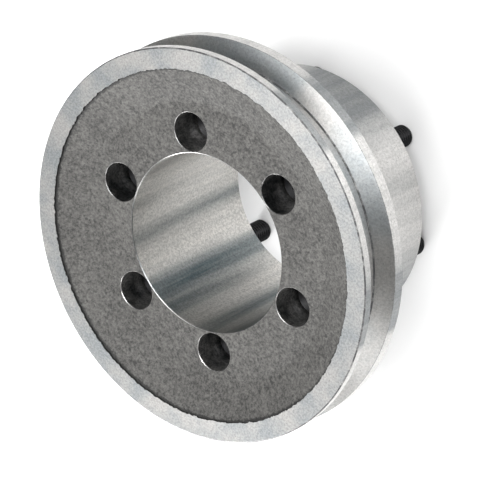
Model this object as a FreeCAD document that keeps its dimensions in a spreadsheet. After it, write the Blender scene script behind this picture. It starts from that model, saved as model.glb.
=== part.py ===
# Crankshaft pulley for one V belt, with the six cap screws that hold it.
# Millimetres. The axis is +Z and the front face looks up. The origin is on the axis,
# level with the tips of the screws, on which the pulley stands.

import FreeCAD
import Part
import PartDesign
import Sketcher
import os

SIZES = {
    # The belt track, from the front edge to the back
    "rim_diameter": 140.0,
    "front_land": 3.4,
    "groove_top": 13.8,
    "rear_land": 4.8,
    "groove_depth": 7.0,
    "groove_floor": 9.3,
    "groove_corner": 0.6,
    "rim_chamfer": 0.4,
    # The front: a machined ring around a dished face left as cast
    "ring_width": 7.5,
    "ring_lip": 0.8,
    "face_recess": 5.4,
    "face_margin": 3.7,
    "face_blend": 8.0,
    # The hub and its bore
    "hub_length": 45.0,
    "hub_wall": 1.2,
    "hub_chamfer": 0.5,
    "hub_root": 2.0,
    "bore_diameter": 64.0,
    "bore_front_chamfer": 0.25,
    "bore_rear_chamfer": 1.0,
    # The screw holes: five evenly spaced, and one shifted so that the pulley fits one way only.
    # Angles are in degrees
    "bore_wall": 0.5,
    "even_holes": 5,
    "hole_angle": 60.0,
    "index_angle": 4.0,
    "mouth_chamfer": 0.2,
    "head_clearance": 0.4,
    "shank_clearance": 0.5,
    # The cap screws
    "screw_length": 55.0,
    "screw_reach": 13.0,
    "thread_diameter": 8.0,
    "tip_chamfer": 1.0,
    "head_diameter": 13.0,
    "head_height": 8.0,
    "head_chamfer": 0.5,
    "socket_width": 6.0,
    "socket_depth": 4.0,
}

# How near an edge must lie to the circle that names it
MATCH = 0.001

# Sides and corners of the key socket
HEX_SIDES = 6

doc = FreeCAD.newDocument("CrankshaftPulley")
sheet = doc.addObject("Spreadsheet::Sheet", "Sizes")
for row, (alias, number) in enumerate(SIZES.items(), start=1):
    sheet.set(f"A{row}", alias)
    sheet.set(f"B{row}", str(number))
    sheet.setAlias(f"B{row}", alias)
doc.recompute()


class Size:
    """A length as a formula on the sheet, with its value."""

    def __init__(self, formula, value):
        self.formula = formula
        self.value = value

    def __add__(self, other):
        return Size(f"({self.formula} + {other.formula})", self.value + other.value)

    def __sub__(self, other):
        return Size(f"({self.formula} - {other.formula})", self.value - other.value)

    def __mul__(self, factor):
        return Size(f"({self.formula} * {factor})", self.value * factor)


def size(alias):
    return Size(f"Sizes.{alias}", float(sheet.get(alias)))


# How far the hole cutter runs past the solid at each end
OVERRUN = Size("1", 1.0)

# Radii
rim_radius = size("rim_diameter") * 0.5
groove_radius = rim_radius - size("groove_depth")
ring_radius = rim_radius - size("ring_width")
bore_radius = size("bore_diameter") * 0.5
head_radius = size("head_diameter") * 0.5
shank_radius = size("thread_diameter") * 0.5
counterbore_radius = head_radius + size("head_clearance")
clearance_radius = shank_radius + size("shank_clearance")
pitch_radius = bore_radius + size("bore_wall") + counterbore_radius
hub_radius = pitch_radius + counterbore_radius + size("hub_wall")
flat_radius = pitch_radius + counterbore_radius + size("face_margin")
hex_radius = size("socket_width") * (1 / 3**0.5)

# Levels above the screw tips
seat_level = size("screw_length")
hub_level = size("screw_reach")
back_level = hub_level + size("hub_length")
groove_back = back_level + size("rear_land")
groove_front = groove_back + size("groove_top")
front_level = groove_front + size("front_land")
floor_inset = (size("groove_top") - size("groove_floor")) * 0.5
lip_level = front_level - size("ring_lip")
face_level = front_level - size("face_recess")
head_level = seat_level + size("head_height")


def origin_feature(body, role):
    for feature in body.Origin.OriginFeatures:
        if feature.Role == role:
            return feature
    raise ValueError(f"{body.Label} has no {role}")


def new_sketch(body, name, plane):
    sketch = body.newObject("Sketcher::SketchObject", name)
    sketch.AttachmentSupport = [(origin_feature(body, plane), "")]
    sketch.MapMode = "FlatFace"
    return sketch


def bind(sketch, kind, geometry, point, value):
    """Hold one coordinate of a point to a size. Nought is the axis itself."""
    if value is None:
        axis = -2 if kind == "DistanceX" else -1
        sketch.addConstraint(Sketcher.Constraint("PointOnObject", geometry, point, axis))
        return
    constraint = Sketcher.Constraint(kind, -1, 1, geometry, point, value.value)
    index = sketch.addConstraint(constraint)
    sketch.setExpression(f"Constraints[{index}]", value.formula)


def draw_outline(sketch, corners):
    """Draw a closed outline through the corners, each a radius and a level."""
    places = []
    for across, up in corners:
        x = across.value if across else 0.0
        y = up.value if up else 0.0
        places.append(FreeCAD.Vector(x, y, 0))
    count = len(places)
    for i in range(count):
        sketch.addGeometry(Part.LineSegment(places[i], places[(i + 1) % count]), False)
    for i in range(count):
        sketch.addConstraint(Sketcher.Constraint("Coincident", i, 2, (i + 1) % count, 1))
    for i, (across, up) in enumerate(corners):
        bind(sketch, "DistanceX", i, 1, across)
        bind(sketch, "DistanceY", i, 1, up)


def revolve(body, kind, name, sketch):
    """Turn an outline about the upright axis of its sketch."""
    feature = body.newObject(kind, name)
    feature.Profile = sketch
    feature.ReferenceAxis = (sketch, ["V_Axis"])
    feature.Angle = 360
    sketch.Visibility = False
    doc.recompute()
    return feature


def circle_edges(feature, circles):
    """Names of the full circles about the axis with the given radius and level."""
    names = []
    for number, edge in enumerate(feature.Shape.Edges, start=1):
        if not isinstance(edge.Curve, Part.Circle) or not edge.isClosed():
            continue
        centre = edge.Curve.Center
        for radius, level in circles:
            near = abs(edge.Curve.Radius - radius.value) < MATCH
            if near and abs(centre.z - level.value) < MATCH:
                names.append(f"Edge{number}")
    if len(names) != len(circles):
        raise ValueError(f"found {len(names)} of {len(circles)} edges")
    return names


def ease_edges(body, kind, name, circles, amount):
    """Round the circles with a Fillet of that radius, or bevel them with a Chamfer of that size."""
    base = body.Tip
    feature = body.newObject(f"PartDesign::{kind}", name)
    feature.Base = (base, circle_edges(base, circles))
    measure = "Radius" if kind == "Fillet" else "Size"
    feature.setExpression(measure, amount.formula)
    doc.recompute()


def hole_place(angle):
    """Formulas for the X and Y of a hole's axis on the pitch circle."""
    turn = f"{angle.formula} * 1 deg"
    return f"{pitch_radius.formula} * cos({turn})", f"{pitch_radius.formula} * sin({turn})"


def cut_hole(body, name, angle):
    """Cut one stepped screw hole: clearance hole, counterbore and its broken mouth."""
    mouth = size("mouth_chamfer")
    below = hub_level - OVERRUN
    above = face_level + OVERRUN
    sketch = new_sketch(body, f"{name}_section", "XZ_Plane")
    across, away = hole_place(angle)
    sketch.setExpression(".AttachmentOffset.Base.x", across)
    sketch.setExpression(".AttachmentOffset.Base.z", f"-1 * {away}")
    draw_outline(sketch, [
        (None, below),
        (clearance_radius, below),
        (clearance_radius, seat_level),
        (counterbore_radius, seat_level),
        (counterbore_radius, face_level - mouth),
        (counterbore_radius + mouth, face_level),
        (counterbore_radius + mouth, above),
        (None, above),
    ])
    before = body.Tip.Shape.Volume
    groove = revolve(body, "PartDesign::Groove", name, sketch)
    if not groove.Shape.Volume < before:
        raise ValueError(f"{name} cuts nothing")
    return groove


def hole_angles():
    """Where the holes stand about the axis, the shifted one last."""
    count = int(float(sheet.get("even_holes")))
    angles = [size("hole_angle") * i for i in range(count)]
    angles.append(size("hole_angle") * count - size("index_angle"))
    return angles


def make_pulley():
    body = doc.addObject("PartDesign::Body", "pulley")
    body.Label = "pulley"
    section = new_sketch(body, "half_section", "XZ_Plane")
    hub_edge = size("hub_chamfer")
    rim_edge = size("rim_chamfer")
    bore_front = size("bore_front_chamfer")
    bore_rear = size("bore_rear_chamfer")
    draw_outline(section, [
        (bore_radius + bore_rear, hub_level),
        (hub_radius - hub_edge, hub_level),
        (hub_radius, hub_level + hub_edge),
        (hub_radius, back_level),
        (rim_radius - rim_edge, back_level),
        (rim_radius, back_level + rim_edge),
        (rim_radius, groove_back),
        (groove_radius, groove_back + floor_inset),
        (groove_radius, groove_front - floor_inset),
        (rim_radius, groove_front),
        (rim_radius, front_level - rim_edge),
        (rim_radius - rim_edge, front_level),
        (ring_radius, front_level),
        (ring_radius, lip_level),
        (flat_radius, face_level),
        (bore_radius + bore_front, face_level),
        (bore_radius, face_level - bore_front),
        (bore_radius, hub_level + bore_rear),
    ])
    revolve(body, "PartDesign::Revolution", "turned_blank", section)
    root = [(hub_radius, back_level)]
    corners = [
        (groove_radius, groove_back + floor_inset),
        (groove_radius, groove_front - floor_inset),
    ]
    blend = [(flat_radius, face_level)]
    ease_edges(body, "Chamfer", "hub_root_bevel", root, size("hub_root"))
    ease_edges(body, "Chamfer", "groove_corner_bevel", corners, size("groove_corner"))
    ease_edges(body, "Fillet", "face_blend_fillet", blend, size("face_blend"))

    angles = hole_angles()
    first = cut_hole(body, "even_hole", angles[0])
    pattern = body.newObject("PartDesign::PolarPattern", "even_holes")
    pattern.Originals = [first]
    pattern.Axis = (origin_feature(body, "Z_Axis"), [""])
    pattern.Occurrences = len(angles) - 1
    pattern.setExpression("Occurrences", "Sizes.even_holes")
    pattern.setExpression("Angle", "Sizes.hole_angle * (Sizes.even_holes - 1)")
    body.Tip = pattern
    doc.recompute()
    cut_hole(body, "index_hole", angles[-1])
    return body


def make_screw(number, angle):
    """A socket head cap screw, its tip at the origin's level and its head on the seat."""
    body = doc.addObject("PartDesign::Body", f"cap_screw_{number}")
    body.Label = f"cap_screw_{number}"
    section = new_sketch(body, f"screw_section_{number}", "XZ_Plane")
    tip = size("tip_chamfer")
    crown = size("head_chamfer")
    draw_outline(section, [
        (None, None),
        (shank_radius - tip, None),
        (shank_radius, tip),
        (shank_radius, seat_level),
        (head_radius, seat_level),
        (head_radius, head_level - crown),
        (head_radius - crown, head_level),
        (None, head_level),
    ])
    revolve(body, "PartDesign::Revolution", f"screw_blank_{number}", section)

    socket = new_sketch(body, f"socket_outline_{number}", "XY_Plane")
    socket.setExpression(".AttachmentOffset.Base.z", head_level.formula)
    draw_hexagon(socket)
    before = body.Tip.Shape.Volume
    pocket = body.newObject("PartDesign::Pocket", f"socket_{number}")
    pocket.Profile = socket
    pocket.setExpression("Length", "Sizes.socket_depth")
    socket.Visibility = False
    doc.recompute()
    if not pocket.Shape.Volume < before:
        raise ValueError(f"the socket of screw {number} cuts nothing")

    across, away = hole_place(angle)
    body.setExpression(".Placement.Base.x", across)
    body.setExpression(".Placement.Base.y", away)
    return body


def draw_hexagon(sketch):
    """Draw a hexagon about the origin, two corners on the horizontal axis."""
    centre = FreeCAD.Vector(0, 0, 0)
    up = FreeCAD.Vector(0, 0, 1)
    spoke = FreeCAD.Vector(hex_radius.value, 0, 0)
    corners = []
    for i in range(HEX_SIDES):
        corners.append(FreeCAD.Rotation(up, 360 / HEX_SIDES * i).multVec(spoke))
    for i in range(HEX_SIDES):
        side = Part.LineSegment(corners[i], corners[(i + 1) % HEX_SIDES])
        sketch.addGeometry(side, False)
    ring = sketch.addGeometry(Part.Circle(centre, up, hex_radius.value), True)
    sketch.addConstraint(Sketcher.Constraint("Coincident", ring, 3, -1, 1))
    index = sketch.addConstraint(Sketcher.Constraint("Radius", ring, hex_radius.value))
    sketch.setExpression(f"Constraints[{index}]", hex_radius.formula)
    for i in range(HEX_SIDES):
        after = (i + 1) % HEX_SIDES
        sketch.addConstraint(Sketcher.Constraint("Coincident", i, 2, after, 1))
        sketch.addConstraint(Sketcher.Constraint("PointOnObject", i, 1, ring))
    for i in range(1, HEX_SIDES):
        sketch.addConstraint(Sketcher.Constraint("Equal", 0, i))
    sketch.addConstraint(Sketcher.Constraint("PointOnObject", 0, 1, -1))


parts = [make_pulley()]
for number, angle in enumerate(hole_angles(), start=1):
    parts.append(make_screw(number, angle))
doc.recompute()

for item in doc.Objects:
    if "Invalid" in item.State or "Error" in item.State:
        raise ValueError(f"{item.Label} is {item.State}")
for part in parts:
    if part.Shape.isNull() or not part.Shape.isValid():
        raise ValueError(f"{part.Label} has no valid shape")

os.makedirs("parts", exist_ok=True)
for part in parts:
    part.Shape.exportStep(f"parts/{part.Label}.step")
    print(f"{part.Label}: {part.Shape.Volume:.1f} cubic millimetres")
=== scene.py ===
# A crankshaft pulley with its six cap screws, standing on the screw tips.
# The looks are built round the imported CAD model. Metres, and +Z along the pulley's axis.

import math

import bmesh
import bpy
from mathutils import Euler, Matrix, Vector, noise


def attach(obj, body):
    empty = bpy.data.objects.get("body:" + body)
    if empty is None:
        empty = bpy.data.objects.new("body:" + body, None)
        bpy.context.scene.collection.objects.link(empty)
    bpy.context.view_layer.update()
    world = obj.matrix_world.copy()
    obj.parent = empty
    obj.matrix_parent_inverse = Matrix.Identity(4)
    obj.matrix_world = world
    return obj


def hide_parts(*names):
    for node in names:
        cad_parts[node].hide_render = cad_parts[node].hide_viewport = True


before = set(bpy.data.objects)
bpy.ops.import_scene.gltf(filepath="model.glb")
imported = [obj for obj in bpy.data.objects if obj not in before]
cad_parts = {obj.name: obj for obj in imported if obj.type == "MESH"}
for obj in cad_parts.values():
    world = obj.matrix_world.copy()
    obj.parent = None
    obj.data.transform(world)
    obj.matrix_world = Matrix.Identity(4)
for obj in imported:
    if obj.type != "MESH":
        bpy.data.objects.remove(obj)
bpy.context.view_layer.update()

# Metres in a millimetre, the unit of the sizes of the pulley and the screws
MM = 0.001

# The pulley's radii, with their chamfers and roundings, from the rim inwards
RIM_RADIUS = 70.0
RIM_CHAMFER = 0.4
GROOVE_RADIUS = 63.0
GROOVE_CORNER = 0.6
RING_RADIUS = 62.5
FLAT_RADIUS = 50.0
FACE_BLEND = 8.0
HUB_RADIUS = 47.5
HUB_CHAMFER = 0.5
HUB_ROOT = 2.0
BORE_RADIUS = 32.0
BORE_FRONT_CHAMFER = 0.25
BORE_REAR_CHAMFER = 1.0

# The pulley's levels above the screw tips
HUB_LEVEL = 13.0
SEAT_LEVEL = 55.0
BACK_LEVEL = 58.0
GROOVE_LEVELS = (62.8, 76.6)
GROOVE_FLOOR_LEVELS = (65.05, 74.35)
FACE_LEVEL = 74.6
LIP_LEVEL = 79.2
FRONT_LEVEL = 80.0

# Small roundings that let the turned edges catch the light
EDGE_ROUND = 0.12
BORE_EDGE_ROUND = 0.05
ROUND_STEPS = 3

# The ragged inner lip of the ring: the band of radius that moves, how far it wanders, how much of
# that goes outwards, how fine its bites are, and the octaves' falloff, spacing and number
LIP_BAND = 0.2
LIP_WANDER = 0.4
LIP_OUTWARD = 0.35
LIP_GRAIN = 0.62
LIP_OCTAVES = (0.6, 2.0, 4)

# The screw holes, at angles in degrees, with a small bevel at the mouth. The last one stands off
# the even spacing
HOLE_ANGLES = (0, 60, 120, 180, 240, 296)
PITCH_RADIUS = 39.4
COUNTERBORE_RADIUS = 6.9
CLEARANCE_RADIUS = 4.5
MOUTH = 0.2

# Their cutters reach past the solid, and a turn in radians keeps their corners off its edges
CUTTER_REACH = 1
CUTTER_TURN = 0.3

# The screws' heads and sockets
HEAD_RADIUS = 6.5
HEAD_LEVEL = 63.0
HEAD_CHAMFER = 0.5
KNURL_DEPTH = 0.12
SOCKET_WIDTH = 6.0
SOCKET_DEPTH = 4.0

# Their threads. The slope of the flanks and the part cut off at the crests leave both crests
# and roots flat
SHANK_RADIUS = 4.0
THREAD_PITCH = 1.25
THREAD_DEPTH = 0.45
THREAD_SLOPE = 1.25
THREAD_CREST = 0.1
THREAD_TOP = 34.0
THREAD_RUNOUT = 0.5
RINGS_PER_PITCH = 8

# Their round points: levels of the rings, inset and curve of the profile, and a step at its top
TIP_CHAMFER = 1.0
TIP_LEVELS = (0.0, 0.12, 0.35, 0.7, TIP_CHAMFER)
TIP_INSET = 1.0
TIP_CURVE = 0.8
TIP_STEP = 0.1

# Fineness of the meshes, and the angles in degrees from which an edge stays sharp
PULLEY_SEGMENTS = 720
CUTTER_SEGMENTS = 72
SCREW_SEGMENTS = 96
PULLEY_CREASE = 32
SCREW_CREASE = 28

# Tolerances for a point on the axis and for places that agree, and the weld's, in metres
ON_AXIS = 1e-6
TOUCH = 0.01
WELD = 0.001 * MM


# Meshes

def turns(count):
    """Angles that share a full turn evenly."""
    return [2 * math.pi * i / count for i in range(count)]


def spoke(degrees):
    """The level unit vector at an angle from +X."""
    turn = math.radians(degrees)
    return Vector((math.cos(turn), math.sin(turn), 0))


def add_ring(bm, level, radii):
    """Vertices spaced evenly round the Z axis at a level, one for each radius."""
    ring = []
    for radius, turn in zip(radii, turns(len(radii))):
        place = (radius * math.cos(turn) * MM, radius * math.sin(turn) * MM, level * MM)
        ring.append(bm.verts.new(place))
    return ring


def arc_corner(before, corner, after, radius, steps):
    """Points of a rounding of the given radius at a corner of an outline."""
    if radius <= 0:
        return [corner]
    a = (Vector(before) - Vector(corner)).normalized()
    b = (Vector(after) - Vector(corner)).normalized()
    half = a.angle(b) / 2
    reach = radius / math.tan(half)
    centre = Vector(corner) + (a + b).normalized() * (radius / math.sin(half))
    start = Vector(corner) + a * reach - centre
    end = Vector(corner) + b * reach - centre
    turn = start.angle_signed(end)
    points = []
    for i in range(steps + 1):
        angle = -turn * i / steps
        c, s = math.cos(angle), math.sin(angle)
        arm = Vector((start.x * c - start.y * s, start.x * s + start.y * c))
        points.append(tuple(centre + arm))
    return points


def round_outline(corners):
    """An outline of (radius, level, rounding) corners with every corner rounded."""
    count = len(corners)
    points = []
    for i in range(count):
        before = corners[i - 1][:2]
        after = corners[(i + 1) % count][:2]
        points += arc_corner(before, corners[i][:2], after, corners[i][2], ROUND_STEPS)
    return points


def broken_lip(radius, level, turn):
    """Radius of the pulley at a turn, with a ragged inner lip where the cut left the cast skin."""
    on_lip = RING_RADIUS - TOUCH < radius < RING_RADIUS + LIP_BAND
    if level < LIP_LEVEL - TOUCH or not on_lip:
        return radius
    place = Vector((math.cos(turn), math.sin(turn), 0)) * RING_RADIUS * LIP_GRAIN
    return radius + LIP_WANDER * (LIP_OUTWARD + noise.fractal(place, *LIP_OCTAVES))


def lathe(outline, segments, closed=True, shaped=None):
    """A bmesh of the outline turned about the Z axis. A radius of nought closes to a point.

    Where a function of radius, level and turn is given, it sets the radius of each corner.
    """
    bm = bmesh.new()
    rings = []
    for radius, level in outline:
        if radius < ON_AXIS:
            rings.append([bm.verts.new((0, 0, level * MM))] * segments)
            continue
        radii = [radius] * segments
        if shaped:
            radii = [shaped(radius, level, turn) for turn in turns(segments)]
        rings.append(add_ring(bm, level, radii))
    last = len(rings) if closed else len(rings) - 1
    for j in range(last):
        low, high = rings[j], rings[(j + 1) % len(rings)]
        for i in range(segments):
            k = (i + 1) % segments
            corners = []
            for vert in (low[i], low[k], high[k], high[i]):
                if vert not in corners:
                    corners.append(vert)
            if len(corners) > 2:
                bm.faces.new(corners)
    bmesh.ops.recalc_face_normals(bm, faces=bm.faces)
    return bm


def new_object(name, bm):
    """An object in the scene with the bmesh as its mesh. It uses the bmesh up."""
    mesh = bpy.data.meshes.new(name)
    bm.to_mesh(mesh)
    bm.free()
    obj = bpy.data.objects.new(name, mesh)
    bpy.context.scene.collection.objects.link(obj)
    return obj


def smooth(obj, crease):
    """Shade across edges that turn by less than the crease, and keep flat faces flat."""
    mesh = obj.data
    mesh.polygons.foreach_set("use_smooth", [True] * len(mesh.polygons))
    mesh.set_sharp_from_angle(angle=math.radians(crease))
    weighted = obj.modifiers.new("flat_faces_stay_flat", "WEIGHTED_NORMAL")
    weighted.keep_sharp = True


def cut(obj, cutters):
    """Take the cutters out of the object for good, and weld the splinters that they leave."""
    for cutter in cutters:
        modifier = obj.modifiers.new("cut", "BOOLEAN")
        modifier.operation = "DIFFERENCE"
        modifier.solver = "EXACT"
        modifier.object = cutter
    bpy.context.view_layer.update()
    graph = bpy.context.evaluated_depsgraph_get()
    mesh = bpy.data.meshes.new_from_object(obj.evaluated_get(graph))
    obj.modifiers.clear()
    bm = bmesh.new()
    bm.from_mesh(mesh)
    bmesh.ops.remove_doubles(bm, verts=bm.verts, dist=WELD)
    bmesh.ops.dissolve_degenerate(bm, edges=bm.edges, dist=WELD)
    bm.to_mesh(mesh)
    bm.free()
    obj.data = mesh
    for cutter in cutters:
        bpy.data.objects.remove(cutter)


def hole_cutter(angle):
    """A stepped cutter for the screw hole at an angle. The cone on top bevels the hole's mouth."""
    cutter = new_object("cutter", lathe([
        (0, HUB_LEVEL - CUTTER_REACH),
        (CLEARANCE_RADIUS, HUB_LEVEL - CUTTER_REACH),
        (CLEARANCE_RADIUS, SEAT_LEVEL),
        (COUNTERBORE_RADIUS, SEAT_LEVEL),
        (COUNTERBORE_RADIUS, FACE_LEVEL - MOUTH),
        (COUNTERBORE_RADIUS + CUTTER_REACH, FACE_LEVEL + CUTTER_REACH - MOUTH),
        (0, FACE_LEVEL + CUTTER_REACH - MOUTH),
    ], CUTTER_SEGMENTS, closed=False))
    cutter.location = spoke(angle) * PITCH_RADIUS * MM
    cutter.rotation_euler.z = CUTTER_TURN
    return cutter


def make_pulley():
    """The pulley, turned from one outline, with its screw holes cut."""
    outline = round_outline([
        (BORE_RADIUS + BORE_REAR_CHAMFER, HUB_LEVEL, EDGE_ROUND),
        (HUB_RADIUS - HUB_CHAMFER, HUB_LEVEL, EDGE_ROUND),
        (HUB_RADIUS, HUB_LEVEL + HUB_CHAMFER, EDGE_ROUND),
        (HUB_RADIUS, BACK_LEVEL - HUB_ROOT, 0),
        (HUB_RADIUS + HUB_ROOT, BACK_LEVEL, 0),
        (RIM_RADIUS - RIM_CHAMFER, BACK_LEVEL, EDGE_ROUND),
        (RIM_RADIUS, BACK_LEVEL + RIM_CHAMFER, EDGE_ROUND),
        (RIM_RADIUS, GROOVE_LEVELS[0], EDGE_ROUND),
        (GROOVE_RADIUS, GROOVE_FLOOR_LEVELS[0], GROOVE_CORNER),
        (GROOVE_RADIUS, GROOVE_FLOOR_LEVELS[1], GROOVE_CORNER),
        (RIM_RADIUS, GROOVE_LEVELS[1], EDGE_ROUND),
        (RIM_RADIUS, FRONT_LEVEL - RIM_CHAMFER, EDGE_ROUND),
        (RIM_RADIUS - RIM_CHAMFER, FRONT_LEVEL, EDGE_ROUND),
        (RING_RADIUS, FRONT_LEVEL, EDGE_ROUND),
        (RING_RADIUS, LIP_LEVEL, 0),
        (FLAT_RADIUS, FACE_LEVEL, FACE_BLEND),
        (BORE_RADIUS + BORE_FRONT_CHAMFER, FACE_LEVEL, BORE_EDGE_ROUND),
        (BORE_RADIUS, FACE_LEVEL - BORE_FRONT_CHAMFER, BORE_EDGE_ROUND),
        (BORE_RADIUS, HUB_LEVEL + BORE_REAR_CHAMFER, EDGE_ROUND),
    ])
    pulley = new_object("turned_pulley", lathe(outline, PULLEY_SEGMENTS, shaped=broken_lip))
    cut(pulley, [hole_cutter(angle) for angle in HOLE_ANGLES])
    smooth(pulley, PULLEY_CREASE)
    return pulley


def thread_radius(level, turn):
    """Radius of the screw's thread at a level and a turn about its axis."""
    phase = (level / THREAD_PITCH + turn / (2 * math.pi)) % 1.0
    ridge = abs(phase - 0.5) * 2
    depth = THREAD_DEPTH * min(1.0, max(0.0, THREAD_SLOPE * ridge - THREAD_CREST))
    fade = min(1.0, max(0.0, (THREAD_TOP - level) / THREAD_PITCH))
    return SHANK_RADIUS - depth * fade


def shank_radius(level, turn):
    """Radius of the screw below its head: the thread, taken in to a round point at the tip."""
    radius = thread_radius(level, turn)
    if level < TIP_CHAMFER:
        part = 1 - level / TIP_CHAMFER
        radius = min(radius, SHANK_RADIUS - TIP_INSET * part ** TIP_CURVE - TIP_STEP)
    return radius


def socket_radius(turn):
    """Distance from the screw's axis to the wall of its hexagon socket at a turn."""
    half_side = math.pi / 6
    side = (turn + half_side) % (math.pi / 3) - half_side
    return SOCKET_WIDTH / 2 / math.cos(half_side - abs(side))


def close_end(bm, ring, level):
    """Close a ring about the Z axis with a flat fan of triangles."""
    middle = bm.verts.new((0, 0, level * MM))
    for i, vert in enumerate(ring):
        bm.faces.new((vert, ring[(i + 1) % len(ring)], middle))


def make_screw(number, angle):
    """A socket head cap screw with a rolled thread, a knurled head and a key socket."""
    levels = list(TIP_LEVELS)
    while levels[-1] < THREAD_TOP:
        levels.append(levels[-1] + THREAD_PITCH / RINGS_PER_PITCH)
    levels += [THREAD_TOP + THREAD_RUNOUT, SEAT_LEVEL]
    outline = [(level, [shank_radius(level, turn) for turn in turns(SCREW_SEGMENTS)])
               for level in levels]
    knurls = [HEAD_RADIUS - KNURL_DEPTH * (i % 2) for i in range(SCREW_SEGMENTS)]
    crown = [HEAD_RADIUS - HEAD_CHAMFER] * SCREW_SEGMENTS
    hexagon = [socket_radius(turn) for turn in turns(SCREW_SEGMENTS)]
    outline += [
        (SEAT_LEVEL, knurls),
        (HEAD_LEVEL - HEAD_CHAMFER, knurls),
        (HEAD_LEVEL, crown),
        (HEAD_LEVEL, hexagon),
        (HEAD_LEVEL - SOCKET_DEPTH, hexagon),
    ]
    bm = bmesh.new()
    rings = [add_ring(bm, level, radii) for level, radii in outline]
    for low, high in zip(rings, rings[1:]):
        for i in range(SCREW_SEGMENTS):
            k = (i + 1) % SCREW_SEGMENTS
            bm.faces.new((low[i], low[k], high[k], high[i]))
    close_end(bm, rings[0], 0)
    close_end(bm, rings[-1], HEAD_LEVEL - SOCKET_DEPTH)
    bmesh.ops.recalc_face_normals(bm, faces=bm.faces)
    screw = new_object(f"black_screw_{number}", bm)
    screw.location = spoke(angle) * PITCH_RADIUS * MM
    smooth(screw, SCREW_CREASE)
    return screw


# Materials

# Numbers of the pulley's materials, in the order in which it holds them
SIDE, FLAT, CAST, DRILLED, EDGE, BORE, GROOVE = range(7)

# Where they lie: ranges of radius and level, with room for the roundings, and slopes of a face,
# which run from 0 for an upright one to 1 for a level one
DISH_RADII = (BORE_RADIUS + 0.3, RING_RADIUS + 1.0)
# The dish's levels reach over the rounding of the ring's lip, so that rounding takes the cast
# skin's painted shade
DISH_LEVELS = (FACE_LEVEL - 0.05, FRONT_LEVEL - 0.002)
GROOVE_RADII = (GROOVE_RADIUS - 0.1, RIM_RADIUS - RIM_CHAMFER)
WALL_MARGIN = 0.02
SLANTED = (0.1, 0.94)
NEARLY_LEVEL = 0.8

# Noise patterns: cells to a metre, octaves and roughness
FEED_LINES = (2600.0, 3.0, 0.7)
GRAIN = (1250.0, 3.0, 0.7)
PORES = (1700.0, 2.0, 0.6)
CLOUDS = (75.0, 4.0, 0.6)
STREAKS = (330.0, 3.0, 0.6)
NICKS = (240.0, 4.0, 0.65)
SKIN_GRAIN = (1050.0, 3.0, 0.75)
SKIN_CLUMPS = (420.0, 3.0, 0.6)
SKIN_CLOUDS = (45.0, 3.0, 0.6)
SKIN_PITS = (560.0, 2.0, 0.5)
LIP_SHADE_EDGE = (620.0, 3.0, 0.7)
OXIDE_GRAIN = (900.0, 3.0, 0.6)
BAND_OCTAVES = (1.0, 0.4)

# The noise values over which each pattern goes from one of its ends to the other
BAND_RANGE = (0.43, 0.53)
STREAK_RANGE = (0.35, 0.65)
CLOUD_RANGE = (0.38, 0.62)
GRAIN_RANGE = (0.40, 0.60)
PORE_RANGE = (0.61, 0.71)
EDGE_RANGE = (0.47, 0.66)
SKIN_RANGE = (0.39, 0.61)
PIT_RANGE = (0.63, 0.70)
GLOSS_RANGE = (0.3, 0.7)
EDGE_GLOSS_RANGE = (0.4, 0.6)

# Full strengths of the dark spots and of the painted shade at the ring's lip, swing of the
# roughness of turned iron, and ends of the others'
PORE_STRENGTH = 0.45
PIT_STRENGTH = 0.75
LIP_SHADE_STRENGTH = 0.85
ROUGHNESS_SWING = 0.04
EDGE_ROUGHNESS = (0.75, 0.55)
OXIDE_ROUGHNESS = (0.30, 0.45)

# The height is scaled by this much in the noise of bands and streaks, which draws them out along
# the axis, and the share of the streaks in the tone
BAND_SQUEEZE = 0.04
STREAK_SQUEEZE = 0.05
STREAK_SHARE = 0.24

# Steps that move pores and pits off the grain, and the range of radius and the wander of the
# painted shade at the foot of the ring's lip, all in metres
PORE_STEP = 0.31
PIT_STEP = 0.17
LIP_SHADE_RADII = (0.0617, 0.0622)
LIP_SHADE_WANDER = 0.0028

# Share of a cool tint that blue gains and of a warm one that green loses, and the tone of a pore
# as a share of the dark one
TINT_SHARE = 0.4
PORE_SHADE = 0.3

# Pairs of colours from dark to bright, and single ones
# The edges' pair is partly wear and partly painted shade
EDGE_WEAR_AND_SHADE_COLOURS = ((0.11, 0.11, 0.114, 1), (0.44, 0.44, 0.43, 1))
SKIN_COLOURS = ((0.029, 0.028, 0.027, 1), (0.125, 0.122, 0.115, 1))
OXIDE_COLOURS = ((0.008, 0.008, 0.009, 1), (0.028, 0.028, 0.030, 1))
PIT_COLOUR = (0.02, 0.02, 0.02, 1)
# The near black of the painted shade at the foot of the ring's lip
PAINTED_LIP_SHADE_COLOUR = (0.012, 0.012, 0.012, 1)
FLOOR_COLOUR = (0.9, 0.9, 0.9, 1)


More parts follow.
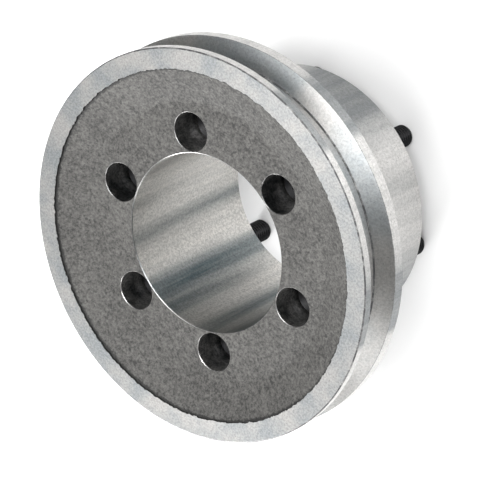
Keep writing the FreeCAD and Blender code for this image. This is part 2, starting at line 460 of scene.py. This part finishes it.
class Nodes:
    """A short way to write a material's node tree."""

    def __init__(self, name):
        self.material = bpy.data.materials.new(name)
        self.material.use_nodes = True
        self.tree = self.material.node_tree
        self.tree.nodes.clear()
        self.shader = self.tree.nodes.new("ShaderNodeBsdfPrincipled")
        out = self.tree.nodes.new("ShaderNodeOutputMaterial")
        self.tree.links.new(self.shader.outputs[0], out.inputs[0])
        self.place = self.tree.nodes.new("ShaderNodeTexCoord").outputs["Object"]

    def put(self, socket, value):
        """Link an output to the socket, or set a plain value on it."""
        if isinstance(value, bpy.types.NodeSocket):
            self.tree.links.new(value, socket)
        else:
            socket.default_value = value

    def add(self, kind, inputs, **settings):
        """A new node with its inputs and settings in place."""
        node = self.tree.nodes.new("ShaderNode" + kind)
        for key, value in settings.items():
            setattr(node, key, value)
        for key, value in inputs.items():
            self.put(node.inputs[key], value)
        return node

    def math(self, operation, a, b=0.0):
        return self.add("Math", {0: a, 1: b}, operation=operation).outputs[0]

    def total(self, *shares):
        """The sum of values with their weights."""
        parts = [self.math("MULTIPLY", value, weight) for value, weight in shares]
        result = parts[0]
        for part in parts[1:]:
            result = self.math("ADD", result, part)
        return result

    def noise(self, pattern, vector=None):
        """Noise of a pattern, in the object's own space unless another vector is given."""
        cells, octaves, roughness = pattern
        inputs = {"Scale": cells, "Detail": octaves, "Roughness": roughness}
        return self.add("TexNoise", {"Vector": vector or self.place, **inputs}).outputs["Fac"]

    def span(self, value, source, target=(0.0, 1.0)):
        """Map one range onto another, with what lies outside held at the ends."""
        inputs = {"From Min": source[0], "From Max": source[1]}
        inputs |= {"To Min": target[0], "To Max": target[1]}
        return self.add("MapRange", {"Value": value, **inputs}).outputs["Result"]

    def blend(self, fac, a, b, mode="MIX"):
        """Mix two colours. The sockets 6 and 7 are the colour ones."""
        inputs = {0: fac, 6: a, 7: b}
        return self.add("Mix", inputs, data_type="RGBA", blend_type=mode).outputs[2]

    def scaled(self, x, y, z):
        inputs = {0: self.place, 1: (x, y, z)}
        return self.add("VectorMath", inputs, operation="MULTIPLY").outputs[0]

    def moved(self, x, y, z, vector=None):
        inputs = {0: vector or self.place, 1: (x, y, z)}
        return self.add("VectorMath", inputs, operation="ADD").outputs[0]

    def radius_and_level(self):
        """Distance from the Z axis and height above the floor."""
        x, y, z = self.add("SeparateXYZ", {0: self.place}).outputs
        square = self.math("ADD", self.math("MULTIPLY", x, x), self.math("MULTIPLY", y, y))
        return self.math("SQRT", square), z

    def surface(self, colour, metallic, roughness):
        self.put(self.shader.inputs["Base Color"], colour)
        self.put(self.shader.inputs["Metallic"], metallic)
        self.put(self.shader.inputs["Roughness"], roughness)

    def bump(self, height, strength, distance):
        """Fine relief of the finish, with its distance in metres."""
        inputs = {"Strength": strength, "Distance": distance, "Height": height}
        self.put(self.shader.inputs["Normal"], self.add("Bump", inputs).outputs[0])

    def brushed(self, anisotropy):
        """Draw the gloss out across marks that run round the Z axis."""
        quarter_turn = 0.25
        tangent = self.add("Tangent", {}, direction_type="RADIAL", axis="Z").outputs[0]
        self.put(self.shader.inputs["Anisotropic"], anisotropy)
        self.put(self.shader.inputs["Anisotropic Rotation"], quarter_turn)
        self.put(self.shader.inputs["Tangent"], tangent)


def turned_iron(name, low, high, depth, roughness, anisotropy=0.0, bands=0.0, step=0.0,
                cool=0.05, warm=0.04):
    """Cast iron off the lathe: pores, grain of a given depth and the lines of the tool's feed.

    The tone runs from low to high in soft clouds. Where bands, their number to a metre, is given,
    it runs in bands along the axis instead, and step picks the place in their noise. These bands
    are partly streaky tone and partly painted reflection: step puts their light and dark where the
    reflections of the surroundings fall. The dark end of the tone is cool, short of red, and the
    bright end is warm, short of blue; in the bands this tint paints blue-grey dark reflections and
    warm highlights.
    """
    n = Nodes(name)
    radius, level = n.radius_and_level()
    feed = n.add("CombineXYZ", {0: radius, 1: 0.0, 2: level}).outputs[0]
    lines = n.noise(FEED_LINES, feed)
    grain = n.noise(GRAIN)
    pores = n.noise(PORES, n.moved(PORE_STEP, PORE_STEP, PORE_STEP))
    if bands:
        # Painted reflection, partly streaky tone: light and dark bands along the axis, placed by
        # step
        place = n.moved(step, step, 0, n.scaled(1, 1, BAND_SQUEEZE))
        tone_and_sheen_bands = n.span(n.noise((bands, *BAND_OCTAVES), place), BAND_RANGE)
        fine = n.span(n.noise(STREAKS, n.scaled(1, 1, STREAK_SQUEEZE)), STREAK_RANGE)
        tone = n.total((tone_and_sheen_bands, 1 - STREAK_SHARE), (fine, STREAK_SHARE))
    else:
        tone = n.span(n.noise(CLOUDS), CLOUD_RANGE)
    dark = (low * (1 - cool), low, low * (1 + TINT_SHARE * cool), 1)
    bright = (high, high * (1 - TINT_SHARE * warm), high * (1 - warm), 1)
    black = (low * PORE_SHADE, low * PORE_SHADE, low * PORE_SHADE, 1)
    shade = n.span(grain, GRAIN_RANGE, (1 - depth, 1.0))
    colour = n.blend(1.0, n.blend(tone, dark, bright), shade, "MULTIPLY")
    colour = n.blend(n.span(pores, PORE_RANGE, (0.0, PORE_STRENGTH)), colour, black)
    ends = (roughness - ROUGHNESS_SWING, roughness + ROUGHNESS_SWING)
    n.surface(colour, metallic=1.0, roughness=n.span(grain, GLOSS_RANGE, ends))
    if anisotropy:
        n.brushed(anisotropy)
    n.bump(n.total((lines, 0.4), (grain, 0.6)), strength=0.2, distance=0.0001)
    return n.material


def worn_and_shaded_edge():
    """The narrow bevels of the rim and the rounded corners of the groove: dull and uneven with
    bright nicks, as worn edges are, and dark as painted shade in place of their highlights.
    """
    n = Nodes("worn_and_shaded_edge")
    tone = n.total((n.noise(NICKS), 0.7), (n.noise(GRAIN), 0.3))
    # Painted shade and wear: the dark tone stands in for the shade on the bevels and groove
    # corners, and the bright nicks are wear
    colour = n.blend(n.span(tone, EDGE_RANGE), *EDGE_WEAR_AND_SHADE_COLOURS)
    gloss = n.span(tone, EDGE_GLOSS_RANGE, EDGE_ROUGHNESS)
    n.surface(colour, metallic=0.8, roughness=gloss)
    n.bump(tone, strength=0.4, distance=0.0002)
    return n.material


def cast_iron():
    """Sand-cast skin: salt and pepper grain, small pits, and painted shade at the foot of the
    ring's lip.
    """
    n = Nodes("cast_skin")
    grain, clumps, clouds = n.noise(SKIN_GRAIN), n.noise(SKIN_CLUMPS), n.noise(SKIN_CLOUDS)
    pits = n.noise(SKIN_PITS, n.moved(PIT_STEP, PIT_STEP, PIT_STEP))
    tone = n.total((grain, 0.66), (clumps, 0.20), (clouds, 0.14))
    colour = n.blend(n.span(tone, SKIN_RANGE), *SKIN_COLOURS)
    colour = n.blend(n.span(pits, PIT_RANGE, (0.0, PIT_STRENGTH)), colour, PIT_COLOUR)
    # Painted shade: a ragged band over the lip's wall and rounding and the edge of the skin is
    # darkened to near black, where the step's shadow falls
    radius, _ = n.radius_and_level()
    wander = n.math("SUBTRACT", n.noise(LIP_SHADE_EDGE), 0.5)
    ragged = n.math("ADD", radius, n.math("MULTIPLY", wander, LIP_SHADE_WANDER))
    painted_lip_shade = n.span(ragged, LIP_SHADE_RADII, (0.0, LIP_SHADE_STRENGTH))
    colour = n.blend(painted_lip_shade, colour, PAINTED_LIP_SHADE_COLOUR)
    n.surface(colour, metallic=0.2, roughness=0.68)
    n.bump(tone, strength=0.6, distance=0.0004)
    return n.material


def black_steel():
    """The screws' black oxide, with a fine grain."""
    n = Nodes("black_oxide")
    grain = n.noise(OXIDE_GRAIN)
    colour = n.blend(grain, *OXIDE_COLOURS)
    n.surface(colour, metallic=0.6, roughness=n.span(grain, GLOSS_RANGE, OXIDE_ROUGHNESS))
    n.bump(grain, strength=0.2, distance=0.0001)
    return n.material


def in_hole(centre):
    """Whether a place of the pulley lies on the wall of a screw hole."""
    for angle in HOLE_ANGLES:
        turn = math.radians(angle)
        across = centre.x / MM - PITCH_RADIUS * math.cos(turn)
        along = centre.y / MM - PITCH_RADIUS * math.sin(turn)
        if math.hypot(across, along) < COUNTERBORE_RADIUS + MOUTH + WALL_MARGIN:
            return HUB_LEVEL + TOUCH < centre.z / MM < FACE_LEVEL - TOUCH
    return False


def within(value, limits):
    return limits[0] < value < limits[1]


def finish_of(face):
    """Number of the material of a face of the pulley, from its place and its slope."""
    radius = math.hypot(face.center.x, face.center.y) / MM
    level = face.center.z / MM
    slope = abs(face.normal.z)
    in_groove = within(radius, GROOVE_RADII) and within(level, GROOVE_LEVELS)
    if in_hole(face.center):
        return DRILLED
    if within(radius, DISH_RADII) and within(level, DISH_LEVELS):
        return CAST
    if radius < BORE_RADIUS + WALL_MARGIN:
        return BORE
    # Slanted faces of the rim's bevels and of the groove's corners take the edge material's painted
    # shade
    if within(slope, SLANTED) and (in_groove or radius > RIM_RADIUS - RIM_CHAMFER):
        return EDGE
    if in_groove:
        return GROOVE
    return FLAT if slope > NEARLY_LEVEL else SIDE


def paint(pulley):
    """Give the pulley its materials, in the order of their numbers."""
    mesh = pulley.data
    mesh.materials.clear()
    # The bands of the side, bore and groove finishes are partly painted reflection, placed by their
    # steps
    for material in (
        turned_iron("turned_side_and_painted_sheen", low=0.27, high=0.66, depth=0.22, roughness=0.41,
                    anisotropy=0.9, bands=30.0, step=8.61),
        turned_iron("turned_flat", low=0.38, high=0.49, depth=0.28, roughness=0.42,
                    anisotropy=0.3),
        cast_iron(),
        turned_iron("drilled", low=0.14, high=0.80, depth=0.5, roughness=0.42),
        worn_and_shaded_edge(),
        turned_iron("reamed_bore_and_painted_sheen", low=0.15, high=0.86, depth=0.3, roughness=0.34,
                    anisotropy=0.9, bands=46.0, step=11.48, cool=0.26, warm=0.07),
        turned_iron("turned_groove_and_painted_sheen", low=0.46, high=0.60, depth=0.22, roughness=0.47,
                    anisotropy=0.8, bands=30.0, step=2.87),
    ):
        mesh.materials.append(material)
    for face in mesh.polygons:
        face.material_index = finish_of(face)


# The studio

# Soft lamps: name, azimuth and elevation in degrees, width in metres, power in watts
LAMPS = (
    ("low_back_lamp", 262, 13, 0.6, 26.0),
    ("right_back_lamp", 266, 36, 0.9, 2.5),
    ("high_back_lamp", 232, 62, 0.9, 4.0),
    ("front_lamp", 60, 50, 0.7, 10.0),
    ("high_front_lamp", 78, 54, 0.9, 13.0),
    ("side_lamp", 312, 35, 0.7, 8.0),
    ("overhead_lamp", 150, 76, 1.0, 15.5),
)

# The place that the lamps look at and their distance from it, in metres
LAMP_AIM = (0, 0, 0.05)
LAMP_DISTANCE = 1.5

# Brightness of the white surroundings, and half the floor's width in metres
WORLD_STRENGTH = 0.065
FLOOR_REACH = 6.0

# The camera: place in metres, turn in degrees, lens and sensor in millimetres, range in metres
CAMERA_PLACE = (0.409659, 0.557085, 0.823812)
CAMERA_TURN = (-21.3962, 37.1390, 21.0175)
CAMERA_LENS = 225.0
CAMERA_SENSOR = 36.0
CAMERA_RANGE = (0.05, 50.0)


def make_floor():
    """A plain pale floor under the screw tips."""
    bm = bmesh.new()
    corners = ((-1, -1), (1, -1), (1, 1), (-1, 1))
    bm.faces.new([bm.verts.new((x * FLOOR_REACH, y * FLOOR_REACH, 0)) for x, y in corners])
    floor = new_object("floor", bm)
    n = Nodes("pale_floor")
    n.surface(FLOOR_COLOUR, metallic=0.0, roughness=0.9)
    n.put(n.shader.inputs["Specular IOR Level"], 0.0)
    floor.data.materials.append(n.material)


def area_light(name, azimuth, elevation, size, power):
    """A soft round lamp that looks at the pulley from a direction in degrees."""
    light = bpy.data.lights.new(name, "AREA")
    light.shape = "DISK"
    light.size = size
    light.energy = power
    obj = bpy.data.objects.new(name, light)
    a, e = math.radians(azimuth), math.radians(elevation)
    way = Vector((math.cos(a) * math.cos(e), math.sin(a) * math.cos(e), math.sin(e)))
    obj.location = Vector(LAMP_AIM) + way * LAMP_DISTANCE
    obj.rotation_euler = way.to_track_quat("Z", "Y").to_euler()
    bpy.context.scene.collection.objects.link(obj)


def make_camera():
    """The camera of the photo's view."""
    camera = bpy.data.cameras.new("camera")
    camera.sensor_width = CAMERA_SENSOR
    camera.lens = CAMERA_LENS
    camera.clip_start, camera.clip_end = CAMERA_RANGE
    obj = bpy.data.objects.new("camera", camera)
    obj.location = CAMERA_PLACE
    obj.rotation_euler = Euler([math.radians(a) for a in CAMERA_TURN], "XYZ")
    bpy.context.scene.collection.objects.link(obj)
    bpy.context.scene.camera = obj


def make_world():
    """Even white light from all sides."""
    world = bpy.data.worlds.new("studio")
    world.use_nodes = True
    background = world.node_tree.nodes["Background"]
    background.inputs["Color"].default_value = (1, 1, 1, 1)
    background.inputs["Strength"].default_value = WORLD_STRENGTH
    bpy.context.scene.world = world


# The scene

pulley = make_pulley()
paint(pulley)
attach(pulley, "root")
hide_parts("pulley")

steel = black_steel()
for number, angle in enumerate(HOLE_ANGLES, start=1):
    screw = make_screw(number, angle)
    screw.data.materials.append(steel)
    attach(screw, "root")
    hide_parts(f"cap_screw_{number}")

make_floor()
make_camera()
make_world()
for name, azimuth, elevation, size, power in LAMPS:
    area_light(name, azimuth, elevation, size, power)

bpy.context.scene.view_settings.view_transform = "Standard"
